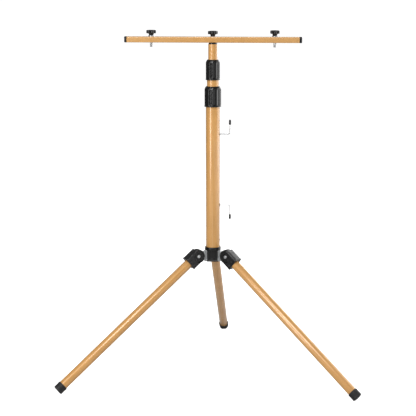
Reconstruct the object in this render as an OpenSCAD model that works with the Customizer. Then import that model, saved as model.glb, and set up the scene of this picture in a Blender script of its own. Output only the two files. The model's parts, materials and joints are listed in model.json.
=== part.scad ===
// Telescopic tripod stand with a T-bar for work lights.
// Millimetres, +Z up. The origin is on the mast axis at floor level. The crossbar lies along X.

/* [Mast] */
// Outside diameter of the lower mast tube
lower_tube_d = 38; // [37:0.5:39]
// Wall of the lower mast tube
lower_tube_wall = 1.5; // [1.2:0.1:1.6]
// Outside diameter of the middle mast tube
middle_tube_d = 32; // [31:0.5:32]
// Outside diameter of the upper mast tube
upper_tube_d = 25; // [24:0.5:25]
// Wall of the middle and upper tubes and of the legs
thin_wall = 1.2; // [1:0.1:1.3]
// Height of the lower tube's top end
lower_tube_top = 775; // [760:1:776]
// Height of the middle tube's top end with the mast closed
middle_tube_top = 847; // [840:1:848]
// Height of the upper tube's top end with the mast closed
upper_tube_top = 911.5; // [905:0.5:920]

/* [Twist collars] */
// Outside diameter of the lower twist collar
lower_collar_d = 45; // [44.5:0.5:48]
// Height of the lower twist collar
lower_collar_h = 55; // [54:1:58]
// Outside diameter of the upper twist collar
upper_collar_d = 38; // [37.5:0.5:41]
// Height of the upper twist collar
upper_collar_h = 54.5; // [54:0.5:58]
// Number of grip flutes round each collar
flutes = 12; // [12:1:20]
// Depth of each grip flute
flute_depth = 0.6; // [0.3:0.1:0.6]

/* [Hub] */
// Height of the hub's underside above the floor
hub_bottom = 318.5; // [316:0.5:319]
// Height of the hub's flanged cup above the floor
hub_top = 358.5; // [357:0.5:362]
// Diameter of the flange round the foot of the mast
hub_flange_d = 44; // [43:0.5:46]
// Distance of the hub's three wide faces from the mast axis
hub_flat_r = 17; // [16.5:0.5:18]
// Thickness of the lug plates that carry the legs
lug_t = 6; // [5:0.5:6]

/* [Legs] */
// Diameter of the leg tubes
leg_d = 25; // [24:0.5:25]
// Slope of an open leg below the horizontal
leg_angle = 38.7; // [38:0.1:39.5]
// Distance of a leg pivot from the mast axis
pivot_r = 47; // [46:0.5:49]
// Height of a leg pivot above the floor
pivot_z = 335.3; // [334:0.1:337]
// Diameter of the pivot pins
pin_d = 6; // [5:0.5:6]
// Radius of the fork cheeks round the pivot
cheek_r = 19; // [18:0.5:20]
// Distance from the pivot to the mouth of the leg socket
socket_end = 33; // [31:0.5:40]
// Outside width and height of the leg socket
socket_size = [29, 36];
// Outside diameter of the rubber foot caps
cap_d = 28; // [27.5:0.5:29]
// Length of the rubber foot caps
cap_len = 21; // [18:0.5:26]

/* [Crossbar] */
// Length of the crossbar tube with its end caps
bar_len = 478; // [420:1:520]
// Width and height of the square crossbar tube
bar_w = 16; // [15.5:0.5:16.5]
// Distance of each lamp stud from the mast axis
lamp_x = 166; // [120:1:190]
// Diameter of the threaded studs
stud_d = 8; // [7:0.5:8]
// How far a lamp stud stands out below the bar
stud_free = 12; // [8:0.5:16]
// Diameter of the star knobs
knob_d = 27; // [24:0.5:32]
// Height of a star knob's lobed head
knob_head_h = 9.5; // [8:0.5:12]
// Height of the knob's neck under the head
knob_neck_h = 5.5; // [4:0.5:8]

/* [Cord hooks] */
// Heights of the lower and upper cord hook
hook_z = [474.5, 669.5];
// Distance of the upright part of a hook from the mast axis
hook_reach = 46.5; // [40:0.5:55]
// Diameter of the hook wire
hook_wire_d = 3; // [2.5:0.1:3.5]
// Height of the vertical part from the arm to the end of its tip
hook_rise = 39.5; // [30:0.5:50]

/* [Hidden] */
$fn = 96;
eps = 0.01;
fit = 0.05;              // radial running clearance
loose = 0.1;             // gap between faces that turn on each other
gold = [0.86, 0.63, 0.35];
black = [0.11, 0.11, 0.12];
zinc = [0.72, 0.73, 0.74];
brass = [0.78, 0.62, 0.30];

LEG_AZ = [90, 210, 330]; // rear, left, right
lower_r = lower_tube_d / 2;
lower_bore_r = lower_r - lower_tube_wall;
middle_r = middle_tube_d / 2;
middle_bore_r = middle_r - thin_wall;
upper_r = upper_tube_d / 2;
upper_bore_r = upper_r - thin_wall;
leg_r = leg_d / 2;
leg_bore_r = leg_r - thin_wall;

flange_z = 350;          // underside of the hub flange
cup_floor = 352;         // the mast stands on this face
spigot_top = 392;        // hub spigot inside the mast
middle_tube_bottom = 405;
upper_tube_bottom = 430;
bush_len = 25;
bush_lip = 3;

lower_collar_z = 744;
upper_collar_z = 816;
collar_top_band = 10;    // plain shoulder above the flutes
collar_rim = 0.8;        // the lip stands this far out of the grip
flute_r = 6;             // radius of a flute's hollow
collar_lip = 2.5;        // plain lip below the flutes
collet_wall = 1.4;
collet_ring = 3;         // ring that sits on the end of the outer tube

lug_half_w = 7.4;        // half the width of a lug's base plate
lug_plate_t = 2;
lug_root_r = 12;         // inner end of the lug in the hub
lug_eye_r = 11;          // rounded end of the lug round the pivot
lug_plate_r = 21.1;      // the hub's narrow faces, where the base plates sit
lug_z = [319.5, 349.5];
lug_screw_y = 5.2;
lug_screw_dz = 11;
lug_screw_d = 3;
lug_screw_len = 9;
cheek_half_w = 9;        // outer face of the fork cheeks from the leg's centre plane
leg_offset = 2;          // the leg's axis passes this far above the pivot
slot_end = 11.5;         // end of the fork slot, along the leg and above the pivot
stop_gap = 0.2;          // play between the lug and the fork's hood when the leg is open
socket_step_r = 16;      // the box steps down to the cheeks on a circle of this radius
socket_hood = -6;        // the box's top runs back over the fork to here
socket_floor = 18;       // the leg tube ends here inside the socket
spigot_len = 45;         // socket spigot inside the leg tube
screw_s = 26;            // socket screw, measured along the leg from the pivot
cap_floor = 3;
cap_chamfer = 2;
foot_dip = 0.8;          // the cap's rim is flattened by this much at the floor
// distance from the pivot to the end face of the cap, so that the flattened rim lies on the floor
cap_end = (pivot_z + (leg_offset - cap_d / 2) * cos(leg_angle) + foot_dip) / sin(leg_angle)
  + cap_chamfer;
head_gap = 0.15;

plug_r = 11.5;
bar_z = upper_tube_top + 3.9;
bar_top = bar_z + bar_w;
bar_wall = 1.2;
bar_corner = 2;
end_cap_t = 7;           // visible length of a bar end cap
rivet_flange_t = 1;
rivet_flange_r = 7;
washer_t = 1.6;
washer_r = 8;
centre_washer_t = 0.8;
insert_r = 6;
thread_r = 3.6;          // pitch radius of the studs' thread
insert_len = 20;
knob_lobes = 6;
neck_r = 5.5;
hook_bend_r = 5;
hook_tip_d = 6.5;
hook_tip_len = 14;

// ---- helpers ----

// A ring from z0 to z1 between two radii.
module ring(r_out, r_in, z0, z1) {
  translate([0, 0, z0]) difference() {
    cylinder(r = r_out, h = z1 - z0);
    translate([0, 0, -1]) cylinder(r = r_in, h = z1 - z0 + 2);
  }
}

// Leg frame: X runs down the leg from the pivot, Y along the pivot pin, Z out of the leg's top.
module leg_place(az) {
  rotate([0, 0, az]) translate([pivot_r, 0, pivot_z]) rotate([0, leg_angle, 0]) children();
}

// A cylinder along X in the leg frame, on the leg's own axis.
module along_leg(r, s0, s1) {
  translate([s0, 0, leg_offset]) rotate([0, 90, 0]) cylinder(r = r, h = s1 - s0);
}

// A cylinder along Y, from y0 to y1.
module along_y(r, y0, y1, sides = 96) {
  translate([0, y1, 0]) rotate([90, 0, 0]) cylinder(r = r, h = y1 - y0, $fn = sides);
}

// ---- hub ----

// Cross-section of the hub core: three wide faces between three narrow faces for the lugs.
module hub_outline() {
  intersection_for(az = LEG_AZ) rotate([0, 0, az]) translate([-hub_flat_r, -40])
    square([hub_flat_r + lug_plate_r, 80]);
}

module hub_body() {
  color(black) difference() {
    union() {
      translate([0, 0, hub_bottom]) linear_extrude(flange_z - hub_bottom) hub_outline();
      translate([0, 0, flange_z - eps]) cylinder(d = hub_flange_d, h = hub_top - flange_z + eps);
    }
    // cup for the mast, open round the spigot
    ring(lower_r + fit, lower_bore_r - fit, cup_floor, hub_top + 1);
    // slots for the lug roots and pilot holes for the screws
    for (az = LEG_AZ) rotate([0, 0, az]) {
      translate([lug_root_r - loose, -lug_t / 2 - fit, lug_z[0] - loose])
        cube([20, lug_t + 2 * fit, lug_z[1] - lug_z[0] + 2 * loose]);
      lug_screw_places() rotate([0, -90, 0]) cylinder(d = lug_screw_d, h = lug_screw_len);
    }
    // hollow underside
    translate([0, 0, hub_bottom - 1]) cylinder(r = 8, h = 25);
  }
  color(black) difference() {
    translate([0, 0, cup_floor]) cylinder(r = lower_bore_r - fit, h = spigot_top - cup_floor);
    translate([0, 0, cup_floor + 6]) cylinder(r = lower_bore_r - 4, h = spigot_top);
    mast_screw_places() translate([-9, 0, 0]) rotate([0, 90, 0]) cylinder(d = 4, h = 20);
  }
}

// Places of the four screws of one lug, on the base plate's outer face.
module lug_screw_places() {
  for (y = [-lug_screw_y, lug_screw_y], dz = [-lug_screw_dz, lug_screw_dz])
    translate([lug_plate_r, y, (lug_z[0] + lug_z[1]) / 2 + dz]) children();
}

module hub_lug(az) {
  color(zinc) rotate([0, 0, az]) difference() {
    union() {
      translate([lug_plate_r, -lug_half_w, lug_z[0]])
        cube([lug_plate_t, 2 * lug_half_w, lug_z[1] - lug_z[0]]);
      translate([lug_root_r, -lug_t / 2, lug_z[0]])
        cube([27 - lug_root_r, lug_t, lug_z[1] - lug_z[0]]);
      translate([20, -lug_t / 2, pivot_z - lug_eye_r]) cube([pivot_r - 20, lug_t, 2 * lug_eye_r]);
      translate([pivot_r, 0, pivot_z]) along_y(lug_eye_r, -lug_t / 2, lug_t / 2);
    }
    translate([pivot_r, 0, pivot_z]) along_y(pin_d / 2 + 0.02, -10, 10);
    lug_screw_places() translate([-1, 0, 0]) rotate([0, 90, 0]) cylinder(d = lug_screw_d + 0.4, h = 5);
  }
}

module lug_screws() {
  color(zinc) for (az = LEG_AZ) rotate([0, 0, az]) lug_screw_places()
    translate([lug_plate_t, 0, 0]) {
      rotate([0, 90, 0]) cylinder(d = 4.2, h = 1.5);
      translate([eps, 0, 0]) rotate([0, -90, 0])
        cylinder(d = lug_screw_d - 0.1, h = lug_plate_t + lug_screw_len - 1);
    }
}

// The head of each front pin faces forward. side is -1 or 1 along the leg frame's Y.
function head_side(az) = az == 330 ? -1 : 1;

module pin_side(az) {
  leg_place(az) mirror([0, head_side(az) < 0 ? 1 : 0, 0]) children();
}

module pivot_pins() {
  color(zinc) for (az = LEG_AZ) pin_side(az) {
    along_y(pin_d / 2, -cheek_half_w - 8, cheek_half_w + head_gap + eps);
    along_y(4.4, cheek_half_w + head_gap, cheek_half_w + head_gap + 1.4);
    along_y(3.2, cheek_half_w + head_gap + 1.3, cheek_half_w + head_gap + 2.2);
  }
}

module pivot_washers() {
  color(zinc) for (az = LEG_AZ) pin_side(az) difference() {
    along_y(6, -cheek_half_w - 1.3, -cheek_half_w - loose);
    along_y(pin_d / 2 + 0.1, -30, 30);
  }
}

module pivot_nuts() {
  color(zinc) for (az = LEG_AZ) pin_side(az) difference() {
    union() {
      along_y(5.77, -cheek_half_w - 6, -cheek_half_w - 1.4, 6);
      along_y(4.6, -cheek_half_w - 7.4, -cheek_half_w - 5.9);
    }
    along_y(pin_d / 2 + 0.02, -30, 30);
  }
}

// ---- mast ----

module mast_screw_places() {
  for (az = [30, 150]) rotate([0, 0, az]) translate([lower_r, 0, 376]) children();
}

module mast_tube_lower() {
  color(gold) difference() {
    ring(lower_r, lower_bore_r, cup_floor, lower_tube_top);
    mast_screw_places() translate([-5, 0, 0]) rotate([0, 90, 0]) cylinder(d = 4.4, h = 10);
    hook_places() rotate([0, 90, 0]) cylinder(d = 6, h = 10, center = true);
  }
}

module mast_screws() {
  color(zinc) mast_screw_places() {
    rotate([0, 90, 0]) cylinder(d = 8, h = 2.2);
    translate([-6, 0, 0]) rotate([0, 90, 0]) cylinder(d = 3.9, h = 6 + eps);
  }
}

// Half section of a split collet: a sleeve on the outer tube, a ring on its end and a
// tapered finger crown round the inner tube.
module collet(outer_r, inner_r, tube_top, sleeve_len, crown_len, slots) {
  sleeve_r = outer_r + collet_wall;
  crown_z = tube_top + collet_ring;
  color(black) difference() {
    rotate_extrude() polygon([
      [outer_r + 0.02, tube_top - sleeve_len], [sleeve_r, tube_top - sleeve_len],
      [sleeve_r, crown_z], [inner_r + 2.4, crown_z + 1], [inner_r + 1.5, crown_z + crown_len],
      [inner_r + fit, crown_z + crown_len], [inner_r + fit, tube_top + 0.02],
      [outer_r + 0.02, tube_top + 0.02]]);
    for (i = [0 : slots - 1]) rotate([0, 0, 360 * i / slots])
      translate([0, -0.75, crown_z + 2]) cube([40, 1.5, crown_len]);
  }
}

module lower_collet() {
  collet(lower_r, middle_r, lower_tube_top, 27, 12, 8);
}

module upper_collet() {
  collet(middle_r, upper_r, middle_tube_top, 27, 12, 8);
}

// Twist collar: fluted outside, a plain bore over the collet and a cone that closes it.
module twist_collar(r, h, z, sleeve_r, crown_z, inner_r) {
  top = z + h;
  color(black) difference() {
    rotate_extrude() polygon([
      [sleeve_r + loose, z], [r + collar_rim, z], [r + collar_rim, z + collar_lip - 0.8],
      [r, z + collar_lip], [r, top - 7], [r - 1.5, top - 3.2], [r - 4.4, top], [inner_r + 0.3, top],
      [inner_r + 0.3, crown_z + 14], [inner_r + 1.75, crown_z + 12.3],
      [inner_r + 2.7, crown_z + 1.2], [sleeve_r + loose, crown_z + 0.3]]);
    for (i = [0 : flutes - 1]) rotate([0, 0, 360 * (i + 0.5) / flutes])
      translate([r + flute_r - flute_depth, 0, z + collar_lip])
        cylinder(r = flute_r, h = h - collar_top_band, $fn = 48);
  }
}

module lower_twist_collar() {
  twist_collar(lower_collar_d / 2, lower_collar_h, lower_collar_z, lower_r + collet_wall,
    lower_tube_top + collet_ring, middle_r);
}

module upper_twist_collar() {
  twist_collar(upper_collar_d / 2, upper_collar_h, upper_collar_z, middle_r + collet_wall,
    middle_tube_top + collet_ring, upper_r);
}

module mast_tube_middle() {
  color(gold) ring(middle_r, middle_bore_r, middle_tube_bottom, middle_tube_top);
}

// Bush on the foot of an inner tube: it centres the tube in the one outside it.
module guide_bush(tube_r, outer_bore_r, bottom) {
  color(black) rotate_extrude() polygon([
    [tube_r - thin_wall, bottom - bush_lip], [outer_bore_r - fit, bottom - bush_lip],
    [outer_bore_r - fit, bottom + bush_len], [tube_r + 0.02, bottom + bush_len],
    [tube_r + 0.02, bottom - 0.02], [tube_r - thin_wall, bottom - 0.02]]);
}

module middle_guide_bush() {
  guide_bush(middle_r, lower_bore_r, middle_tube_bottom);
}

module upper_guide_bush() {
  guide_bush(upper_r, middle_bore_r, upper_tube_bottom);
}

module plug_rivet_place() {
  rotate([0, 0, 90]) translate([upper_r, 0, 890]) rotate([0, 90, 0]) children();
}

module mast_tube_upper() {
  color(gold) difference() {
    ring(upper_r, upper_bore_r, upper_tube_bottom, upper_tube_top);
    plug_rivet_place() cylinder(d = 4, h = 10, center = true);
  }
}

module top_plug() {
  plug_top = bar_z - loose;
  color(black) difference() {
    union() {
      translate([0, 0, 876]) cylinder(r = upper_bore_r - fit, h = plug_top - 876);
      translate([0, 0, upper_tube_top + 0.02]) cylinder(r = plug_r, h = plug_top - upper_tube_top - 0.02);
    }
    translate([0, 0, bar_z - insert_len - 2]) cylinder(r = insert_r, h = 60);
    translate([0, 0, 870]) cylinder(r = stud_d / 2 + 1, h = 60);
    plug_rivet_place() translate([0, 0, -4]) cylinder(d = 3.6, h = 4);
  }
}

module top_plug_rivet() {
  color(zinc) plug_rivet_place() {
    cylinder(d = 6.5, h = 1.2);
    translate([0, 0, -3.9]) cylinder(d = 3.5, h = 3.9 + eps);
  }
}

module top_insert() {
  color(brass) ring(insert_r - 0.02, thread_r + fit, bar_z - insert_len - 1.98, bar_z - 0.4);
}

// ---- crossbar ----

// Cross-section of the square bar tube, shrunk by a margin.
module bar_section(margin) {
  s = bar_w / 2 - margin;
  c = max(bar_corner - margin, 0.5);
  translate([0, bar_w / 2]) {
    square([2 * s, 2 * (s - c)], center = true);
    square([2 * (s - c), 2 * s], center = true);
    for (x = [-1, 1], y = [-1, 1]) translate([x * (s - c), y * (s - c)]) circle(r = c, $fn = 48);
  }
}

// Sweeps a section along X, from x0 to x1, with its height along Z.
module along_bar(x0, x1) {
  translate([x0, 0, bar_z]) rotate([90, 0, 90]) linear_extrude(x1 - x0) children();
}

module crossbar() {
  half = bar_len / 2 - end_cap_t;
  color(gold) difference() {
    along_bar(-half, half) bar_section(0);
    along_bar(-half - 1, half + 1) bar_section(bar_wall);
    translate([0, 0, bar_z - 1]) cylinder(r = stud_d / 2 + 0.25, h = bar_w + 2);
    for (x = [-lamp_x, lamp_x]) translate([x, 0, 0]) {
      translate([0, 0, bar_z - 1]) cylinder(r = stud_d / 2 + 0.5, h = 5);
      translate([0, 0, bar_top - 5]) cylinder(r = 5.5, h = 10);
    }
  }
}

module bar_end_cap(side) {
  half = bar_len / 2 - end_cap_t;
  color(black) mirror([side < 0 ? 1 : 0, 0, 0]) {
    along_bar(half + 0.02, half + end_cap_t - 1.5) bar_section(-0.2);
    along_bar(half + end_cap_t - 1.5 - eps, half + end_cap_t) bar_section(0.9);
    along_bar(half - 14, half + 0.03) bar_section(bar_wall + 0.05);
  }
}

// Flanged thread inserts in the bar's top wall. Threads are drawn at their pitch diameter.
module bar_rivet_nuts() {
  color(zinc) for (x = [-lamp_x, lamp_x]) translate([x, 0, 0]) difference() {
    union() {
      translate([0, 0, bar_top + 0.02]) cylinder(r = rivet_flange_r, h = rivet_flange_t);
      translate([0, 0, bar_top - 10]) cylinder(r = 5.45, h = 10 + rivet_flange_t);
    }
    cylinder(r = thread_r + fit, h = 1000);
  }
}

lamp_washer_z = bar_top + rivet_flange_t + 0.12;
lamp_knob_z = lamp_washer_z + washer_t + 0.08;
centre_knob_z = bar_top + loose + centre_washer_t + 0.08;

module lamp_washer(x) {
  color(zinc) translate([x, 0, 0])
    ring(washer_r, stud_d / 2 + 0.2, lamp_washer_z, lamp_washer_z + washer_t);
}

module centre_washer() {
  color(zinc) ring(washer_r - 1.5, stud_d / 2 + 0.2, bar_top + loose, bar_top + loose + centre_washer_t);
}

// Star knob: a tapered neck under a lobed head, with a blind bore that holds the stud.
module knob(z) {
  lobe_r = knob_d * 0.17;
  head_z = z + knob_neck_h;
  color(black) difference() {
    union() {
      translate([0, 0, z]) cylinder(r1 = neck_r, r2 = neck_r + 2, h = knob_neck_h + eps);
      translate([0, 0, head_z]) cylinder(d = knob_d * 0.72, h = knob_head_h);
      for (i = [0 : knob_lobes - 1]) rotate([0, 0, 360 * i / knob_lobes])
        translate([knob_d / 2 - lobe_r, 0, head_z]) cylinder(r = lobe_r, h = knob_head_h - 0.8, $fn = 48);
    }
    translate([0, 0, z - 1]) cylinder(r = thread_r + fit, h = knob_neck_h + knob_head_h - 2);
  }
}

// A knob's steel stud. The threaded part is drawn at its pitch diameter. A lamp stud has a
// free end at full diameter up to z_wall.
module stud(z_end, z_wall, z_knob) {
  top = z_knob + knob_neck_h + knob_head_h - 3.2;
  end_r = z_wall > z_end + 1 ? stud_d / 2 : thread_r;
  color(zinc) {
    translate([0, 0, z_wall - eps]) cylinder(r = thread_r, h = top - z_wall + eps);
    translate([0, 0, z_end]) cylinder(r1 = end_r - 1, r2 = end_r, h = 1);
    if (z_wall > z_end + 1) translate([0, 0, z_end + 1]) cylinder(r = end_r, h = z_wall - z_end - 1);
  }
}

module centre_knob() {
  knob(centre_knob_z);
}

module centre_stud() {
  stud(bar_z - 16, bar_z - 15, centre_knob_z);
}

module lamp_knob(x) {
  translate([x, 0, 0]) knob(lamp_knob_z);
}

module lamp_stud(x) {
  translate([x, 0, 0]) stud(bar_z - stud_free, bar_z - 1, lamp_knob_z);
}

// ---- cord hooks ----

module hook_places() {
  for (z = hook_z) translate([lower_r, 0, z]) children();
}

module hook_inserts() {
  color(zinc) hook_places() difference() {
    union() {
      translate([0.02, 0, 0]) rotate([0, 90, 0]) cylinder(d = 9, h = 1);
      translate([-1.4, 0, 0]) rotate([0, 90, 0]) cylinder(d = 5.9, h = 2);
    }
    rotate([0, 90, 0]) cylinder(d = hook_wire_d + 0.04, h = 20, center = true);
  }
}

// A hook: an arm from the mast, a round bend and an upright part. dir is 1 up or -1 down.
module cord_hook(z, dir) {
  r = hook_wire_d / 2;
  bend_x = hook_reach - hook_bend_r;
  color(zinc) translate([0, 0, z]) mirror([0, 0, dir < 0 ? 1 : 0]) {
    translate([lower_r - 1.3, 0, 0]) rotate([0, 90, 0]) cylinder(r = r, h = bend_x - lower_r + 1.3, $fn = 48);
    translate([bend_x, 0, hook_bend_r]) rotate([90, 0, 0]) intersection() {
      rotate_extrude() translate([hook_bend_r, 0]) circle(r = r, $fn = 48);
      translate([0, -20, -10]) cube([20, 20, 20]);
    }
    translate([hook_reach, 0, hook_bend_r]) cylinder(r = r, h = hook_rise - 3 - hook_bend_r, $fn = 48);
  }
}

module hook_tip(z, dir) {
  r = hook_tip_d / 2;
  base = hook_rise - hook_tip_len;
  color(black) translate([hook_reach, 0, z]) mirror([0, 0, dir < 0 ? 1 : 0]) difference() {
    rotate_extrude() {
      translate([0, base + r]) square([r, hook_tip_len - 2 * r]);
      for (y = [base + r, hook_rise - r]) translate([0, y]) intersection() {
        circle(r = r, $fn = 64);
        translate([0, -10]) square([20, 20]);
      }
    }
    cylinder(r = hook_wire_d / 2 + 0.02, h = hook_rise - 2.9, $fn = 48);
  }
}

// ---- legs ----

// Side view of the fork and socket: cheeks round the pivot run into the socket's box.
module socket_side() {
  half = socket_size[1] / 2;
  circle(r = cheek_r);
  translate([0, leg_offset - half]) square([socket_end, 2 * half]);
}

// Side view of the box and its hood. The box stands proud of the cheeks outside a round step.
module box_side() {
  half = socket_size[1] / 2;
  difference() {
    translate([socket_hood, leg_offset - half]) square([socket_end - socket_hood, 2 * half]);
    circle(r = socket_step_r);
    translate([-40, -40]) square([45, 40]);
  }
}

// Side view of the slot that lets the leg swing from open to straight down. The hood over
// the slot meets the top of the lug and stops the leg from spreading further.
module slot_side() {
  w = lug_eye_r + stop_gap;
  c = cos(leg_angle);
  s = sin(leg_angle);
  polygon([[slot_end, slot_end], [(slot_end * c - w) / s, slot_end], [-60, (w - s * 60) / c],
    [-60, -60], [slot_end, -60]]);
}

// Turns a side view drawn in the leg's X and Z into a slab between two Y faces.
module slab(y0, y1) {
  translate([0, y1, 0]) rotate([90, 0, 0]) linear_extrude(y1 - y0) children();
}

module leg_socket(az) {
  half_w = socket_size[0] / 2;
  slot_half = lug_t / 2 + loose;
  color(black) leg_place(az) difference() {
    union() {
      slab(-cheek_half_w, cheek_half_w) socket_side();
      slab(-half_w, half_w) box_side();
      along_leg(leg_bore_r - fit, socket_floor - 1, socket_floor + spigot_len);
    }
    slab(-slot_half, slot_half) slot_side();
    along_y(pin_d / 2 + fit, -30, 30);
    difference() {
      along_leg(leg_r + fit, socket_floor, socket_end + 1);
      along_leg(leg_bore_r - fit, socket_floor - 1, socket_end + 2);
    }
    along_leg(leg_bore_r - 3, socket_floor + 14, socket_floor + spigot_len + 1);
    translate([screw_s, 0, leg_offset - socket_size[1] / 2 - 1]) cylinder(d = 4, h = 12, $fn = 48);
    translate([screw_s, 0, leg_offset - socket_size[1] / 2 - 1]) cylinder(d = 8, h = 2.5, $fn = 48);
  }
}

module leg_tube(az) {
  color(gold) leg_place(az) difference() {
    along_leg(leg_r, socket_floor + 0.2, cap_end - cap_floor);
    along_leg(leg_bore_r, 0, cap_end);
    translate([screw_s, 0, -30]) cylinder(d = 4.2, h = 30, $fn = 48);
  }
}

module leg_screw(az) {
  z0 = leg_offset - socket_size[1] / 2;
  color(zinc) leg_place(az) {
    translate([screw_s, 0, z0 + 0.1]) cylinder(d = 7.6, h = 1.4, $fn = 48);
    translate([screw_s, 0, z0 + 1.4]) cylinder(d = 3.9, h = 9, $fn = 48);
  }
}

module foot_cap(az) {
  r = cap_d / 2;
  color(black) difference() {
    leg_place(az) translate([cap_end, 0, leg_offset]) rotate([0, -90, 0]) rotate_extrude() polygon([
      [0, 0], [r - cap_chamfer, 0], [r, cap_chamfer], [r, cap_len - 1], [r - 1, cap_len],
      [leg_r + 0.02, cap_len], [leg_r + 0.02, cap_floor - 0.02], [0, cap_floor - 0.02]]);
    translate([-600, -600, -100]) cube([1200, 1200, 100]);
  }
}

// ---- parts ----

hub_body();
hub_lug(90);  // hub_lug_rear
hub_lug(210);  // hub_lug_left
hub_lug(330);  // hub_lug_right
lug_screws();
pivot_pins();
pivot_washers();
pivot_nuts();
mast_tube_lower();
mast_screws();
lower_collet();
lower_twist_collar();
mast_tube_middle();
middle_guide_bush();
upper_collet();
upper_twist_collar();
mast_tube_upper();
upper_guide_bush();
top_plug();
top_plug_rivet();
top_insert();
crossbar();
bar_end_cap(-1);  // bar_end_cap_left
bar_end_cap(1);  // bar_end_cap_right
bar_rivet_nuts();
centre_washer();
centre_knob();
centre_stud();
lamp_washer(-lamp_x);  // lamp_washer_left
lamp_knob(-lamp_x);  // lamp_knob_left
lamp_stud(-lamp_x);  // lamp_stud_left
lamp_washer(lamp_x);  // lamp_washer_right
lamp_knob(lamp_x);  // lamp_knob_right
lamp_stud(lamp_x);  // lamp_stud_right
hook_inserts();
cord_hook(hook_z[1], 1);  // cord_hook_upper
cord_hook(hook_z[0], -1);  // cord_hook_lower
hook_tip(hook_z[1], 1);  // hook_tip_upper
hook_tip(hook_z[0], -1);  // hook_tip_lower
leg_socket(90);  // leg_socket_rear
leg_tube(90);  // leg_tube_rear
leg_screw(90);  // leg_screw_rear
foot_cap(90);  // foot_cap_rear
leg_socket(210);  // leg_socket_left
leg_tube(210);  // leg_tube_left
leg_screw(210);  // leg_screw_left
foot_cap(210);  // foot_cap_left
leg_socket(330);  // leg_socket_right
leg_tube(330);  // leg_tube_right
leg_screw(330);  // leg_screw_right
foot_cap(330);  // foot_cap_right
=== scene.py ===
"""Looks for the telescopic tripod work light stand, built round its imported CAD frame."""

import json
import math

import bmesh
import bpy
import numpy as np
from mathutils import Matrix, Vector


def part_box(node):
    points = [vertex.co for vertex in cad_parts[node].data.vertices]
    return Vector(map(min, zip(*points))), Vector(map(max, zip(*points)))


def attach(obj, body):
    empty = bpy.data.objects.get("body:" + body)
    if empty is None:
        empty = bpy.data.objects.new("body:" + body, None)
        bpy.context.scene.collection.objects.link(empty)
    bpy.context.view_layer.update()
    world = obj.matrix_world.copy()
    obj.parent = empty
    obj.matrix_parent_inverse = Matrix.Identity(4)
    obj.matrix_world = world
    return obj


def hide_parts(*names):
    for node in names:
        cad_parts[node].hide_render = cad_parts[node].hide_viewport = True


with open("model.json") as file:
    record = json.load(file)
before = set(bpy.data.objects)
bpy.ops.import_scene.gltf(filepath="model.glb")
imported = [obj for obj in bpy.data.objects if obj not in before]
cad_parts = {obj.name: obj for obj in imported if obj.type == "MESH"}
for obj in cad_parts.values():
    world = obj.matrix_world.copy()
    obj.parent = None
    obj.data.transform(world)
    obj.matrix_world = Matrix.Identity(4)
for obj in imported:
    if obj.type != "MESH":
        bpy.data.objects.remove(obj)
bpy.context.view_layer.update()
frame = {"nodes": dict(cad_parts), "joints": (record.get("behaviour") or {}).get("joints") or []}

MM = 0.001
TAU = 2 * math.pi
LEGS = {"rear": 90, "left": 210, "right": 330}  # azimuth of each leg, in degrees
JOINTS = {j["name"]: j for j in frame["joints"]}

# ---- sizes, in millimetres, read from the frame or fixed by the design ----


def box_mm(node):
    """Lowest and highest corner of a CAD node, in millimetres."""
    low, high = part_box(node)
    return np.array(low) / MM, np.array(high) / MM


def half_width(node):
    """Half the size of a CAD node along X."""
    low, high = box_mm(node)
    return (high[0] - low[0]) / 2


def round_size(node):
    """Radius and the two end heights of a node that is round about the mast axis."""
    low, high = box_mm(node)
    return half_width(node), low[2], high[2]


# legs and their sockets
LEG_SLOPE = math.radians(38.7)
LEG_OFFSET = 2.0          # the leg's axis passes this far above its pivot
PIVOT = Vector(JOINTS["leg_rear_fold"]["pos_m"]) / MM
PIVOT_R, PIVOT_Z = PIVOT.y, PIVOT.z
LEG_TUBE_R = half_width("leg_tube_rear")
WALL = 1.2                # wall of the legs, the bar and the two inner mast tubes
CAP_R = half_width("foot_cap_rear")
CAP_FLOOR = 3.0           # thickness of a foot's end
SOCKET_MOUTH = 33.0       # socket mouth, along the leg from the pivot
SOCKET_HALF = (14.5, 18.0)
SOCKET_FLOOR = 18.0       # the leg tube ends here inside the socket
SOCKET_STEP = 16.0        # the box steps down to the cheeks on this radius
SOCKET_HOOD = -6.0        # the box's top runs back to here
SOCKET_SCREW = 26.0       # the screw under the socket, along the leg from the pivot
CHEEK_R = 19.0            # radius of the fork cheeks round the pin
CHEEK_HALF = 9.0          # outer face of the cheeks from the leg's centre plane
PIN_R = 3.0

# hub and lugs
HUB_LOW = box_mm("hub_body")[0][2]
HUB_TOP = 358.5
HUB_R = half_width("hub_body")
HUB_FLAT = 17.0           # the hub's three wide faces, from the mast axis
CUP_FLOOR = 352.0         # the lower mast tube stands on this face
LUG_HALF = 3.0            # half the thickness of a lug's tongue
LUG_MID = 334.5           # middle height of a lug's base plate
LUG_SEAT = 21.1           # the hub's narrow faces, where the base plates sit
LUG_SCREW = (5.2, 11.0)   # lug screws, sideways and up from the plate's middle

# mast
MAST_R = 19.0             # outside of the lower mast tube
MAST_SCREW_Z = 376.0
MAST_SCREW_AZIMUTHS = (30, 150)
FLUTES = 12               # flutes round each twist collar
FLUTE_TURN = 0.42         # where they start, as part of one flute
FLUTE_DEPTH = 1.5
COLLAR_RIM = 0.8          # a collar's lip stands this far out of its grip

# crossbar
BAR_Z = box_mm("crossbar")[0][2]
BAR_TOP = box_mm("crossbar")[1][2]
BAR_W = BAR_TOP - BAR_Z
LAMP_X = (box_mm("lamp_washer_right")[0][0] + box_mm("lamp_washer_right")[1][0]) / 2
STUD_R = 4.0              # free end of a lamp stud, over its threads
INSERTED_R = 3.62         # the same stud inside its thread insert
WIRE_R = 1.5              # cord hook wire

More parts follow.
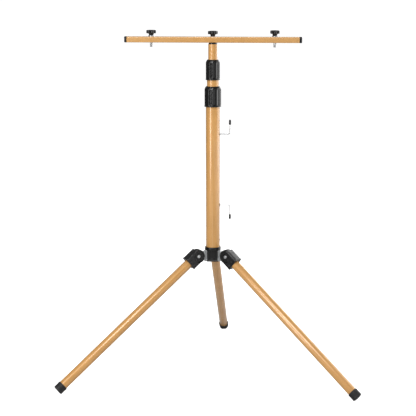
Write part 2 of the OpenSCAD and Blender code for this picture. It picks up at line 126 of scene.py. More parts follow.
# light
AMBIENT = 0.22            # strength of the room's own light
FLOOR_GLOW = 0.86         # glow of the floor to the camera
FLOOR_BOUNCE = 0.56       # how pale the floor is to all but the camera
FLOOR_GLOSSY_GLOW = (0.0, 1.1)  # painted light: glow of its left and its right side in reflections


def turn_z(azimuth):
    """A turn about the mast axis, in degrees."""
    return Matrix.Rotation(math.radians(azimuth), 4, "Z")


def leg_matrix(azimuth):
    """Leg frame in metres: X down the leg from the pivot, Y along the pin, Z out of its top."""
    place = Matrix.Translation(Vector((PIVOT_R, 0, PIVOT_Z)) * MM)
    return turn_z(azimuth) @ place @ Matrix.Rotation(LEG_SLOPE, 4, "Y")


# ---- mesh building ----


def bare_mesh(name, verts, faces):
    """A mesh from points in millimetres."""
    mesh = bpy.data.meshes.new(name)
    points = [tuple(v) for v in np.asarray(verts) * MM]
    mesh.from_pydata(points, [], [tuple(int(i) for i in face) for face in faces])
    return mesh


def make_object(name, verts, faces, body, stands_for, material, normals=None, matrix=None):
    """A finished piece from points in millimetres. It rides on a body and stands for CAD nodes."""
    mesh = bare_mesh(name, verts, faces)
    mesh.polygons.foreach_set("use_smooth", [True] * len(mesh.polygons))
    if normals is not None:
        mesh.normals_split_custom_set_from_vertices([tuple(n) for n in normals])
    mesh.validate()
    mesh.materials.append(material)
    obj = bpy.data.objects.new(name, mesh)
    bpy.context.scene.collection.objects.link(obj)
    if matrix is not None:
        obj.matrix_world = matrix
    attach(obj, body)
    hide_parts(*stands_for)
    return obj


def outward(mesh):
    """Turns a mesh's faces outwards."""
    fix = bmesh.new()
    fix.from_mesh(mesh)
    bmesh.ops.recalc_face_normals(fix, faces=fix.faces)
    fix.to_mesh(mesh)
    fix.free()
    return mesh


def fillet(points, closed=True, steps=4):
    """Rounds the corners of an outline. Each point is (a, b, radius)."""
    out = []
    count = len(points)
    for i, (a, b, radius) in enumerate(points):
        p = np.array((a, b), float)
        if radius <= 0 or (not closed and i in (0, count - 1)):
            out.append(tuple(p))
            continue
        before = np.array(points[i - 1][:2], float) - p
        after = np.array(points[(i + 1) % count][:2], float) - p
        before /= np.linalg.norm(before)
        after /= np.linalg.norm(after)
        if before @ after < -0.9999:  # a point on a straight run has no corner to round
            out.append(tuple(p))
            continue
        half = math.acos(max(-1, min(1, float(before @ after)))) / 2
        back = radius / math.tan(half)
        centre = p + (before + after) / np.linalg.norm(before + after) * radius / math.sin(half)
        start = p + before * back - centre
        end = p + after * back - centre
        angle = math.atan2(start[0] * end[1] - start[1] * end[0], float(start @ end))
        for k in range(steps + 1):
            t = angle * k / steps
            c, s = math.cos(t), math.sin(t)
            out.append((centre[0] + c * start[0] - s * start[1], centre[1] + s * start[0] + c * start[1]))
    return out


def skin(rows, count, closed):
    """Faces over rows of count points each. The ends are capped, or joined if closed."""
    faces = []
    for i in range(rows if closed else rows - 1):
        j = (i + 1) % rows
        for k in range(count):
            m = (k + 1) % count
            faces.append((i * count + k, i * count + m, j * count + m, j * count + k))
    if not closed:
        faces.append(tuple(reversed(range(count))))
        faces.append(tuple((rows - 1) * count + k for k in range(count)))
    return faces


def lathe(profile, sides=96, closed=True, radius_of=None, axis="Z"):
    """Turns an outline of (radius, height) about Z or X. radius_of(radius, height, angle) may vary it."""
    profile = np.array(profile, float)
    angles = TAU * np.arange(sides) / sides
    r = np.repeat(profile[:, 0][:, None], sides, 1)
    h = np.repeat(profile[:, 1][:, None], sides, 1)
    if radius_of is not None:
        r = radius_of(r, h, angles[None, :])
    x, y = r * np.cos(angles), r * np.sin(angles)
    verts = np.stack([x, y, h], -1).reshape(-1, 3)
    if axis == "X":
        verts = verts[:, [2, 0, 1]]
    return verts, skin(len(profile), sides, closed)


def join(*parts):
    """Puts several (verts, faces) sets into one."""
    verts, faces, base = [], [], 0
    for v, f in parts:
        verts.append(np.asarray(v, float))
        faces.extend(tuple(i + base for i in face) for face in f)
        base += len(v)
    return np.concatenate(verts), faces


def moved(part, matrix):
    """A (verts, faces) set moved by a matrix whose lengths are in millimetres."""
    verts, faces = part
    m = np.array(matrix)
    return np.asarray(verts) @ m[:3, :3].T + m[:3, 3], faces


def hard_object(name, part, body, stands_for, material, matrix=None, degrees=35):
    """A piece with sharp shading across edges that turn by more than an angle, smooth elsewhere."""
    obj = make_object(name, part[0], part[1], body, stands_for, material, matrix=matrix)
    outward(obj.data).set_sharp_from_angle(angle=math.radians(degrees))


# ---- rounded mouldings from distance fields ----


def smin(a, b, k):
    """Union of two fields with a fillet of about k."""
    h = np.clip(0.5 + 0.5 * (b - a) / k, 0, 1)
    return b + (a - b) * h - k * h * (1 - h)


def smax(a, b, k):
    """Intersection of two fields with a rounded edge of about k."""
    return -smin(-a, -b, k)


def box2(a, b, half_a, half_b, r):
    """Distance to a rectangle with corner radius r."""
    qa, qb = np.abs(a) - half_a + r, np.abs(b) - half_b + r
    return np.hypot(np.maximum(qa, 0), np.maximum(qb, 0)) + np.minimum(np.maximum(qa, qb), 0) - r


def cells_round(edges, ax):
    """The four cells round each grid edge that runs along an axis, in turn."""
    for du, dw in ((-1, -1), (0, -1), (0, 0), (-1, 0)):
        cell = edges.copy()
        cell[:, (ax + 1) % 3] += du
        cell[:, (ax + 2) % 3] += dw
        yield cell


def surface(field, low, high, step):
    """Meshes the zero surface of field(x, y, z), in millimetres: one vertex per crossed cell."""
    low, high = np.array(low, float), np.array(high, float)
    n = np.ceil((high - low) / step).astype(int) + 1
    axes = [low[i] + step * np.arange(n[i]) for i in range(3)]
    d = field(axes[0][:, None, None], axes[1][None, :, None], axes[2][None, None, :])
    d = np.broadcast_to(d, n).astype(float)
    inside = d < 0
    total = np.zeros((n[0] - 1, n[1] - 1, n[2] - 1, 3))
    count = np.zeros(n - 1)
    crossings = []
    for ax in range(3):
        lo_cut = [slice(None)] * 3
        hi_cut = [slice(None)] * 3
        lo_cut[ax], hi_cut[ax] = slice(0, -1), slice(1, None)
        d0, d1 = d[tuple(lo_cut)], d[tuple(hi_cut)]
        i0, i1 = inside[tuple(lo_cut)], inside[tuple(hi_cut)]
        hit = np.argwhere(i0 != i1)
        v0, v1 = d0[tuple(hit.T)], d1[tuple(hit.T)]
        point = hit.astype(float)
        point[:, ax] += v0 / (v0 - v1)
        for cell in cells_round(hit, ax):
            ok = (cell >= 0).all(1) & (cell < n - 1).all(1)
            np.add.at(total, tuple(cell[ok].T), point[ok])
            np.add.at(count, tuple(cell[ok].T), 1)
        crossings.append((ax, hit, i0[tuple(hit.T)]))
    active = count > 0
    index = np.full(count.shape, -1)
    index[active] = np.arange(active.sum())
    verts = low + step * total[active] / count[active][:, None]
    faces = []
    for ax, hit, solid_first in crossings:
        quad = np.stack([index[tuple(cell.T)] for cell in cells_round(hit, ax)], 1)
        quad[~solid_first] = quad[~solid_first][:, ::-1]
        faces.append(quad)
    verts, normals = settle(field, verts, step)
    return verts, np.concatenate(faces), normals


def gradient(field, p, h):
    """Numerical gradient of a field at points."""
    g = np.zeros_like(p)
    for ax in range(3):
        a, b = p.copy(), p.copy()
        a[:, ax] += h
        b[:, ax] -= h
        g[:, ax] = (field(*a.T) - field(*b.T)) / (2 * h)
    return g


def settle(field, verts, step):
    """Moves vertices on to the surface and returns them with their normals."""
    start = verts.copy()
    for _ in range(3):
        g = gradient(field, verts, 0.02)
        size = np.maximum((g * g).sum(1), 0.05)
        verts = verts - g * (field(*verts.T) / size)[:, None]
        verts = start + np.clip(verts - start, -0.6 * step, 0.6 * step)
    g = gradient(field, verts, 0.03)
    return verts, g / np.maximum(np.linalg.norm(g, axis=1), 1e-6)[:, None]


# ---- materials ----


class Surface:
    """A principled material with short hands for its node tree. Textures run in object space."""

    def __init__(self, name, roughness, metallic=0.0, coat=0.0):
        self.mat = bpy.data.materials.new(name)
        self.mat.use_nodes = True
        self.tree = self.mat.node_tree
        self.bsdf = self.tree.nodes["Principled BSDF"]
        self.bsdf.inputs["Roughness"].default_value = roughness
        self.bsdf.inputs["Metallic"].default_value = metallic
        self.bsdf.inputs["Coat Weight"].default_value = coat
        self.bsdf.inputs["Coat Roughness"].default_value = 0.12
        where = self.node("ShaderNodeTexCoord").outputs["Object"]
        chance = self.node("ShaderNodeObjectInfo").outputs["Random"]
        shift = self.node("ShaderNodeVectorMath", operation="ADD")
        self.link(where, shift.inputs[0])
        self.link(chance, shift.inputs[1])
        self.where = shift.outputs[0]

    def node(self, kind, **settings):
        made = self.tree.nodes.new(kind)
        for key, value in settings.items():
            setattr(made, key, value)
        return made

    def link(self, source, target):
        self.tree.links.new(source, target)

    def noise(self, per_metre, detail=2.0, stretch=(1, 1, 1)):
        """Noise with about this many grains to the metre, drawn out by stretch."""
        scale = self.node("ShaderNodeVectorMath", operation="MULTIPLY")
        self.link(self.where, scale.inputs[0])
        scale.inputs[1].default_value = stretch
        noise = self.node("ShaderNodeTexNoise")
        noise.inputs["Scale"].default_value = per_metre
        noise.inputs["Detail"].default_value = detail
        self.link(scale.outputs[0], noise.inputs["Vector"])
        return noise.outputs["Fac"]

    def span(self, value, low, high, to_low, to_high):
        """Maps a value from one range to another."""
        ranged = self.node("ShaderNodeMapRange")
        self.link(value, ranged.inputs["Value"])
        limits = {"From Min": low, "From Max": high, "To Min": to_low, "To Max": to_high}
        for key, number in limits.items():
            ranged.inputs[key].default_value = number
        return ranged.outputs["Result"]

    def blend(self, factor, first, second):
        """Mixes two colours. Each is a colour or a socket."""
        mix = self.node("ShaderNodeMix", data_type="RGBA")
        self.link(factor, mix.inputs[0])
        for socket, colour in ((mix.inputs[6], first), (mix.inputs[7], second)):
            if isinstance(colour, tuple):
                socket.default_value = (*colour, 1)
            else:
                self.link(colour, socket)
        return mix.outputs[2]

    def edges(self, low, high):
        """Runs from 0 on flat faces to 1 on convex edges."""
        return self.span(self.node("ShaderNodeNewGeometry").outputs["Pointiness"], low, high, 0, 1)

    def colour(self, socket):
        self.link(socket, self.bsdf.inputs["Base Color"])

    def roughness(self, socket):
        self.link(socket, self.bsdf.inputs["Roughness"])

    def bump(self, layers):
        """Stacks bump layers of (height socket, strength, depth in mm)."""
        normal = None
        for height, strength, depth in layers:
            bump = self.node("ShaderNodeBump")
            bump.inputs["Strength"].default_value = strength
            bump.inputs["Distance"].default_value = depth * MM
            self.link(height, bump.inputs["Height"])
            if normal is not None:
                self.link(normal, bump.inputs["Normal"])
            normal = bump.outputs[0]
        self.link(normal, self.bsdf.inputs["Normal"])


def gold_powder_coat():
    """Golden powder coat: orange peel, fine flake, faint lengthwise rubbing, worn edges."""
    s = Surface("gold_powder_coat", 0.34, metallic=0.10, coat=1.0)
    s.bsdf.inputs["Coat Roughness"].default_value = 0.16
    cloud = s.span(s.noise(18), 0.35, 0.65, 0, 1)
    flake = s.span(s.noise(1400, 1), 0.45, 0.75, 0, 1)
    rub = s.span(s.noise(260, 3, (1, 1, 0.05)), 0.58, 0.78, 0, 0.5)
    tone = s.blend(cloud, (0.630, 0.308, 0.078), (0.690, 0.345, 0.092))
    tone = s.blend(flake, tone, (0.79, 0.45, 0.16))
    tone = s.blend(rub, tone, (0.49, 0.26, 0.08))
    tone = s.blend(s.edges(0.53, 0.62), tone, (0.74, 0.46, 0.20))
    s.colour(tone)
    s.roughness(s.span(s.noise(70, 4), 0.3, 0.7, 0.30, 0.46))
    s.bump([(s.noise(420, 1), 0.10, 0.12), (s.noise(1700, 1), 0.08, 0.03)])
    return s.mat


def moulded_black(name, dark, dusty, smooth, rough, grain, painted_edge_sheen):
    """A black polymer: fine spark grain, dusty patches, painted shade in its hollows and a painted sheen
    on its convex edges.
    """
    s = Surface(name, smooth)
    # painted shade: hollows get a low specular level so they read darker, and what stands out, polished by
    # hands, keeps a high one
    s.link(s.span(s.edges(0.44, 0.53), 0, 1, 0.12, 0.6), s.bsdf.inputs["Specular IOR Level"])
    patches = s.span(s.noise(35, 5), 0.42, 0.72, 0, 1)
    specks = s.span(s.noise(900, 2), 0.62, 0.80, 0, 0.6)
    tone = s.blend(patches, (dark, dark, dark * 1.06), (dusty, dusty, dusty * 1.04))
    tone = s.blend(specks, tone, (dusty * 1.8, dusty * 1.8, dusty * 1.75))
    # painted sheen: convex edges are lightened, a painted highlight
    tone = s.blend(s.edges(0.52, 0.60), tone, (painted_edge_sheen, painted_edge_sheen, painted_edge_sheen))
    s.colour(tone)
    s.roughness(s.span(s.noise(90, 4), 0.3, 0.7, smooth, rough))
    s.bump([(s.noise(1500, 2), grain, 0.05), (s.noise(160, 2), 0.04, 0.2)])
    return s.mat


def plated_steel(name, light, deep, smooth, rough):
    """Zinc or brass plating with fine drawing lines and cloudy patches."""
    s = Surface(name, smooth, metallic=1.0)
    patches = s.span(s.noise(120, 5), 0.35, 0.68, 0, 1)
    lines = s.span(s.noise(900, 2, (1, 1, 0.12)), 0.40, 0.70, 0, 0.5)
    tone = s.blend(patches, light, deep)
    tone = s.blend(lines, tone, deep)
    s.colour(tone)
    s.roughness(s.span(s.noise(300, 4), 0.3, 0.7, smooth, rough))
    s.bump([(s.noise(1100, 2, (1, 1, 0.2)), 0.12, 0.03), (s.noise(240, 2), 0.08, 0.1)])
    return s.mat


def grey_acetal():
    """Grey slide polymer with faint rub marks."""
    s = Surface("grey_acetal", 0.45)
    rub = s.span(s.noise(500, 3, (1, 1, 0.1)), 0.5, 0.7, 0, 1)
    s.colour(s.blend(rub, (0.30, 0.30, 0.31), (0.22, 0.22, 0.23)))
    s.roughness(s.span(s.noise(120), 0.3, 0.7, 0.35, 0.55))
    s.bump([(s.noise(900, 2), 0.1, 0.04)])
    return s.mat


GOLD = gold_powder_coat()
NYLON = moulded_black("black_nylon", 0.003, 0.006, 0.17, 0.27, 0.08, 0.014)
RUBBER = moulded_black("foot_rubber", 0.014, 0.026, 0.52, 0.72, 0.25, 0.040)
VINYL = moulded_black("black_vinyl", 0.009, 0.013, 0.26, 0.38, 0.08, 0.022)
ZINC = plated_steel("zinc_plate", (0.70, 0.71, 0.72), (0.52, 0.53, 0.54), 0.26, 0.44)
BRASS = plated_steel("brass", (0.75, 0.55, 0.24), (0.55, 0.38, 0.15), 0.28, 0.42)
ACETAL = grey_acetal()


# ---- turned and bent parts ----


def tube(r_out, r_in, z0, z1, axis="Z"):
    """A tube with its cut ends broken."""
    edge = 0.3
    outline = [(r_in, z0, edge), (r_out, z0, edge), (r_out, z1, edge), (r_in, z1, edge)]
    return lathe(fillet(outline, steps=3), 128, axis=axis)


def washer(r_out, r_in, z0, z1):
    """A stamped washer: one face with rolled edges, the other crisp."""
    outline = [(r_in, z0, 0.1), (r_out, z0, 0.12), (r_out, z1, 0.4), (r_in, z1, 0.25)]
    return lathe(fillet(outline, steps=3), 64)


def hexagon(angle):
    """Radius of a hexagon whose flats are one away from its centre."""
    return 1 / np.cos(np.mod(angle, TAU / 6) - TAU / 12)


def screw(head_r, head_h, shank_r, shank_len, drive_r, drive_depth):
    """A button-head screw with a hexagon socket. The head stands on z = 0 and the shank runs down."""
    profile = fillet([
        (0, -shank_len, 0), (shank_r - 0.3, -shank_len, 0), (shank_r, -shank_len + 0.3, 0),
        (shank_r, 0, 0), (head_r, 0, 0.15), (head_r - 0.05, head_h * 0.45, head_h * 0.5),
        (head_r * 0.72, head_h, head_h * 0.4), (drive_r * 1.25, head_h, 0.08),
        (drive_r, head_h - 0.15, 0), (drive_r, head_h - drive_depth, 0),
        (0, head_h - drive_depth - 0.3, 0)], closed=False, steps=3)

    def radius(r, h, angle):
        socket = (h > head_h - drive_depth - 0.01) & (r <= drive_r * 1.001)
        return np.where(socket, r * hexagon(angle) * 0.93, r)

    return weld(*lathe(profile, 48, closed=False, radius_of=radius))


def weld(verts, faces, tolerance=1e-4):
    """Merges vertices that share a place and drops faces that collapse."""
    keys = np.round(np.asarray(verts) / tolerance).astype(np.int64)
    _, first, back = np.unique(keys, axis=0, return_index=True, return_inverse=True)
    back = back.reshape(-1)
    kept = []
    for face in faces:
        ring = []
        for i in face:
            j = int(back[i])
            if not ring or ring[-1] != j:
                ring.append(j)
        if len(ring) > 1 and ring[0] == ring[-1]:
            ring.pop()
        if len(ring) > 2 and len(set(ring)) == len(ring):
            kept.append(tuple(ring))
    return np.asarray(verts)[first], kept


def nut(flat_r, z0, z1, bore_r, collar_r, collar_h):
    """A lock nut: a chamfered hexagon with a round nylon collar on top."""
    wide = flat_r * 1.155
    profile = fillet([
        (bore_r, z0, 0.2), (flat_r * 0.95, z0, 0), (wide, z0 + 0.35, 0), (wide, z1 - 0.35, 0),
        (flat_r * 0.95, z1, 0), (collar_r, z1, 0), (collar_r, z1 + collar_h, 0.6),
        (bore_r, z1 + collar_h, 0.2)], steps=3)

    def radius(r, h, angle):
        limit = flat_r * hexagon(angle)
        return np.where(r > flat_r, np.minimum(r, limit), r)

    return lathe(profile, 96, radius_of=radius)


def thread(radius, z0, z1, pitch=1.25, depth=0.6, sides=40):
    """A threaded rod with chamfered ends."""
    rows = int((z1 - z0) / (pitch / 8)) + 1
    profile = [(radius, z0 + (z1 - z0) * i / (rows - 1)) for i in range(rows)]

    def groove(r, h, angle):
        wave = 0.5 + 0.5 * np.cos(TAU * h / pitch - angle)
        cone = np.minimum(np.minimum(h - z0, z1 - h) + radius - 1.0, radius)
        return np.minimum(r - depth * wave ** 1.3, cone)

    return lathe(profile, sides, closed=False, radius_of=groove)


def sweep(path, radius, sides=24):
    """A round wire along a path that stays in the XZ plane, with rounded ends."""
    path = np.array(path, float)
    tangents = np.gradient(path, axis=0)
    tangents /= np.linalg.norm(tangents, axis=1)[:, None]

    def end_ring(i, way, turn):
        """A ring past an end of the path, smaller towards the tip, where turn is 0."""
        centre = path[i] + way * tangents[i] * radius * (1 - turn) * 0.3
        return centre, tangents[i], radius * (0.7 + 0.37 * turn)

    rings = [end_ring(0, -1, turn) for turn in (0.0, 0.5, 0.8)]
    rings += [(p, t, radius) for p, t in zip(path, tangents)]
    rings += [end_ring(-1, 1, turn) for turn in (0.8, 0.5, 0.0)]
    across = np.array((0, 1.0, 0))
    verts = []
    for p, t, r in rings:
        side = np.cross(t, across)
        for k in range(sides):
            a = TAU * k / sides
            verts.append(p + r * (math.cos(a) * across + math.sin(a) * side))
    return np.array(verts), skin(len(rings), sides, closed=False)


def rounded_square(half, corner):
    """Outline of a rounded square about the origin."""
    points = [(half * a, half * b, corner) for a, b in ((1, 1), (-1, 1), (-1, -1), (1, -1))]
    return fillet(points, steps=6)


def loft(sections, closed=False):
    """Joins outlines of equal length, each given as (x, points in y and z)."""
    verts = [(x, y, z) for x, outline in sections for y, z in outline]
    return np.array(verts), skin(len(sections), len(sections[0][1]), closed)


def pierce(part, holes):
    """Cuts round holes along Z. Each hole is (x, y, radius, z0, z1)."""

    def solid(verts, faces):
        obj = bpy.data.objects.new("blank", outward(bare_mesh("blank", verts, faces)))
        bpy.context.scene.collection.objects.link(obj)
        return obj

    target = solid(*part)
    cutters = []
    for x, y, radius, z0, z1 in holes:
        verts, faces = lathe([(radius, z0), (radius, z1)], 48, closed=False)
        cutter = solid(verts + np.array((x, y, 0)), faces)
        cut = target.modifiers.new("cut", "BOOLEAN")
        cut.operation = "DIFFERENCE"
        cut.solver = "EXACT"
        cut.object = cutter
        cutters.append(cutter)
    graph = bpy.context.evaluated_depsgraph_get()
    mesh = bpy.data.meshes.new_from_object(target.evaluated_get(graph))
    verts = np.array([v.co for v in mesh.vertices]) / MM
    faces = [tuple(p.vertices) for p in mesh.polygons]
    for obj in [target, *cutters]:
        bpy.data.objects.remove(obj)
    return verts, faces


# ---- hub, lugs and knuckles ----


def socket_field(x, y, z):
    """Leg socket with its fork, in the leg frame: box, cheeks round the pin, hood and spigot."""
    s, c = math.sin(LEG_SLOPE), math.cos(LEG_SLOPE)
    up = z - LEG_OFFSET
    rho = np.hypot(x, z)
    ring = np.hypot(y, up)
    half_w, half_h = SOCKET_HALF
    side = smin(rho - CHEEK_R, box2(x - 16, up, 16, half_h, 3.0), 3.0)
    cheeks = smax(side, np.abs(y) - CHEEK_HALF, 2.0)
    # raised rim round each cheek and a boss round the pin
    rim = smax(np.maximum(rho - CHEEK_R + 0.3, CHEEK_R - 2.6 - rho), np.abs(y) - CHEEK_HALF - 0.5, 1.0)
    boss = smax(rho - 6.3, np.abs(y) - CHEEK_HALF - 0.05, 0.8)
    cheeks = smin(cheeks, rim, 0.8)
    # ring of pockets round the pin, parted by ribs
    angle = np.arctan2(z, x) + 0.15
    rib = rho * np.abs(np.sin(np.mod(angle, TAU / 9) - TAU / 18))
    pocket = smax(np.abs(rho - 11.6) - 3.0, CHEEK_HALF - 1.5 - np.abs(y), 0.5)
    pocket = smax(pocket, 0.8 - (rho * math.sin(TAU / 18) - rib) * 0.9, 0.5)
    cheeks = smax(cheeks, -pocket, 0.5)
    cheeks = smin(cheeks, boss, 0.5)
    # box with its round step, a hood over the fork and a flared mouth
    middle = (SOCKET_MOUTH + SOCKET_HOOD) / 2
    box = smax(box2(y, up, half_w, half_h, 3.0), np.abs(x - middle) - SOCKET_MOUTH + middle, 1.4)
    lip = smax(box2(y, up, half_w + 0.5, half_h + 0.5, 3.2), np.abs(x - SOCKET_MOUTH + 2.0) - 2.0, 0.8)
    box = smin(box, lip, 0.8)
    box = smax(box, SOCKET_STEP - rho, 1.2)
    box = smax(box, np.minimum(5 - x, -z), 1.2)
    # grooves pressed into the box's flanks
    groove = smax(box2(x - 26, np.abs(up) - 6.2, 3.6, 1.6, 1.4), half_w - 0.7 - np.abs(y), 0.6)
    box = smax(box, -groove, 0.6)
    body = smin(cheeks, box, 1.6)
    # fork slot, open at the bottom and closed by the hood on top
    slot = np.maximum(np.abs(y) - LUG_HALF - 0.1, np.maximum(x, z) - 11.5)
    slot = np.maximum(slot, -s * x + c * z - 11.2)
    body = smax(body, -slot, 0.7)
    body = smax(body, PIN_R + 0.05 - rho, 0.5)
    body = smax(body, -np.maximum(ring - LEG_TUBE_R - 0.06, SOCKET_FLOOR - x), 0.7)
    # screw hole with its counterbore
    hole = np.hypot(x - SOCKET_SCREW, y)
    seat = np.maximum(hole - 4.1, up + half_h - 1.4)
    body = smax(body, -np.minimum(seat, np.maximum(hole - 2.0, up)), 0.4)
    spigot = smax(ring - LEG_TUBE_R + WALL + 0.05, np.maximum(x - 62.9, SOCKET_FLOOR - 1 - x), 1.0)
    spigot = smax(spigot, -np.maximum(ring - 8.3, SOCKET_FLOOR + 14 - x), 0.8)
    return np.minimum(body, spigot)


def turned(x, y, azimuth):
    """A point's distance along an azimuth in degrees, and its distance sideways of it."""
    a = math.radians(azimuth)
    return x * math.cos(a) + y * math.sin(a), y * math.cos(a) - x * math.sin(a)


def lug_screw_distance(across, up):
    """Distance from the axis of the nearest of a lug's four screws."""
    return np.hypot(np.abs(across) - LUG_SCREW[0], np.abs(up) - LUG_SCREW[1])


def hub_field(x, y, z):
    """Hub: a core with three wide and three narrow faces, a flanged cup and a spigot for the mast."""
    low, high = HUB_LOW, HUB_TOP
    flange = HUB_TOP - 8.5
    core = None
    slots = None
    for azimuth in LEGS.values():
        u, v = turned(x, y, azimuth)
        face = smax(u - LUG_SEAT, -u - HUB_FLAT, 1.5)
        core = face if core is None else smax(core, face, 2.5)
        # slot for the lug's tongue, pilot holes for its screws and a panel sunk in the wide face
        root = np.maximum(np.abs(v) - LUG_HALF - 0.05, 11.9 - u)
        root = np.maximum(root, np.abs(z - LUG_MID) - 15.1)
        pilot = np.maximum(lug_screw_distance(v, z - LUG_MID) - 1.5, 12 - u)
        panel = smax(box2(v, z - 336.5, 9.0, 10.0, 2.5), u + HUB_FLAT - 0.9, 0.6)
        panel = np.maximum(panel, -u - 30)
        cut = np.minimum(np.minimum(root, pilot), panel)
        slots = cut if slots is None else np.minimum(slots, cut)
    r = np.hypot(x, y)
    body = smax(core, np.abs(z - (low + flange) / 2 - 1) - (flange - low) / 2 - 1, 1.4)
    lip = smax(core - 0.9, np.abs(z - low - 1.7) - 1.7, 1.0)
    body = smin(body, lip, 1.0)
    body = smin(body, box2(r, z - (flange + high) / 2, HUB_R, (high - flange) / 2, 1.6), 2.2)
    body = smax(body, -slots, 0.4)
    # cup for the mast and the hollow underside
    body = smax(body, -np.maximum(np.abs(r - 18.25) - 0.82, CUP_FLOOR - z), 0.4)
    body = smax(body, -np.maximum(r - 8, z - low - 24), 1.0)
    spigot = smax(r - 17.42, np.abs(z - 370) - 22, 1.2)
    spigot = smax(spigot, -np.maximum(r - 13.5, 358 - z), 0.8)
    for azimuth in MAST_SCREW_AZIMUTHS:
        u, v = turned(x, y, azimuth)
        spigot = np.maximum(spigot, -np.maximum(np.hypot(v, z - MAST_SCREW_Z) - 2, 8 - u))
    return np.minimum(body, spigot)


def lug_field(x, y, z):
    """Cast lug on the +X side: a base plate, a tongue into the hub and an arm to the pivot's eye."""
    up = z - LUG_MID
    rho = np.hypot(x - PIVOT_R, z - PIVOT_Z)
    plate = smax(box2(y, up, 7.4, 15.0, 2.2), np.abs(x - LUG_SEAT - 1.0) - 1.0, 0.7)
    root = box2(x - 19.5, up, 7.5, 15.0, 1.2)
    arm = box2(x - 33, z - PIVOT_Z, 14, 11, 1.0)
    side = smin(smin(root, arm, 4.0), rho - 11.0, 1.0)
    tongue = smax(side, np.abs(y) - LUG_HALF, 0.9)
    eye_groove = smax(np.abs(rho - 8.6) - 1.2, 2.55 - np.abs(y), 0.4)
    tongue = smax(tongue, -eye_groove, 0.4)
    lug = smin(plate, tongue, 1.6)
    # only the tongue goes into the hub
    lug = np.maximum(lug, np.where(x < LUG_SEAT, np.abs(y) - LUG_HALF, -1))
    lug = smax(lug, PIN_R + 0.02 - rho, 0.3)
    return smax(lug, 1.7 - lug_screw_distance(y, up), 0.3)


def knob_field(x, y, z):
    """Star knob standing on z = 0: a flared neck under a six-lobed head with a dished crown."""
    r = np.hypot(x, y)
    angle = np.mod(np.arctan2(y, x) + TAU / 12, TAU / 6) - TAU / 12
    lobe = np.hypot(r * np.cos(angle) - 8.9, r * np.sin(angle)) - 4.55
    outline = smin(r - 9.2, lobe, 2.0)
    head = smax(outline, 5.6 - z, 1.6)
    head = smax(head, z - 15.0 + 0.006 * r * r, 1.8)
    dish = np.hypot(r, z - 34) - 20.2
    head = smax(head, -dish, 0.8)
    cap = smax(r - 4.6, np.abs(z - 12) - 2.5, 0.6)
    head = smin(head, cap, 0.4)
    neck = smax(r - 5.4 - 0.36 * np.clip(z, 0, 7), np.abs(z - 4) - 4.0, 0.7)
    collar = smax(r - 6.3, np.abs(z - 0.9) - 0.9, 0.5)
    knob = smin(smin(neck, collar, 0.8), head, 1.8)
    return smax(knob, -np.maximum(r - 3.7, z - 12.4), 0.3)


def build_hub():
    verts, faces, normals = surface(hub_field, (-25, -25, HUB_LOW - 1.5), (25, 25, 393.5), 0.62)
    make_object("hub_moulding", verts, faces, "stand_base", ["hub_body"], NYLON, normals)
    verts, faces, normals = surface(lug_field, (11, -8.5, 318), (59.5, 8.5, 351), 0.5)
    for side, azimuth in LEGS.items():
        make_object(f"lug_casting_{side}", verts, faces, "stand_base", [f"hub_lug_{side}"],
                    ZINC, normals, turn_z(azimuth))
    one = screw(2.1, 1.5, 1.45, 9.5, 1.0, 0.8)
    parts = []
    for azimuth in LEGS.values():
        for y in (-LUG_SCREW[0], LUG_SCREW[0]):
            for dz in (-LUG_SCREW[1], LUG_SCREW[1]):
                place = turn_z(azimuth) @ Matrix.Translation((LUG_SEAT + 2, y, LUG_MID + dz))
                parts.append(moved(one, place @ Matrix.Rotation(math.pi / 2, 4, "Y")))
    hard_object("lug_screw_set", join(*parts), "stand_base", ["lug_screws"], ZINC)


def pin_frame(azimuth):
    """Pivot frame in millimetres: Z along the pin towards its head."""
    side = -1 if azimuth == LEGS["right"] else 1
    place = Matrix.Translation((PIVOT_R, 0, PIVOT_Z)) @ Matrix.Rotation(-side * math.pi / 2, 4, "X")
    return turn_z(azimuth) @ place


def build_pivots():
    """Pins with domed heads, and a washer under each lock nut."""
    face = CHEEK_HALF + 0.15
    end = -CHEEK_HALF - 8
    pin = weld(*lathe(fillet([
        (0, end, 0), (PIN_R - 0.4, end, 0), (PIN_R, end + 0.4, 0), (PIN_R, face, 0), (4.4, face, 0.2),
        (4.4, face + 1.1, 0.5), (3.3, face + 1.4, 0.3), (3.1, face + 2.2, 0.6), (1.5, face + 2.2, 0.2),
        (1.2, face + 1.7, 0), (0, face + 1.6, 0)], closed=False, steps=3), 48, closed=False))
    flat = washer(6, PIN_R + 0.1, -CHEEK_HALF - 1.3, -CHEEK_HALF - 0.1)
    down = Matrix.Translation((0, 0, -CHEEK_HALF - 1.4)) @ Matrix.Rotation(math.pi, 4, "X")
    lock = moved(nut(5.0, 0, 4.6, PIN_R + 0.02, 4.5, 1.4), down)
    sets = {"pivot_pin_set": (pin, "pivot_pins"), "pivot_washer_set": (flat, "pivot_washers"),
            "pivot_nut_set": (lock, "pivot_nuts")}
    for name, (part, node) in sets.items():
        copies = [moved(part, pin_frame(azimuth)) for azimuth in LEGS.values()]
        hard_object(name, join(*copies), "stand_base", [node], ZINC)


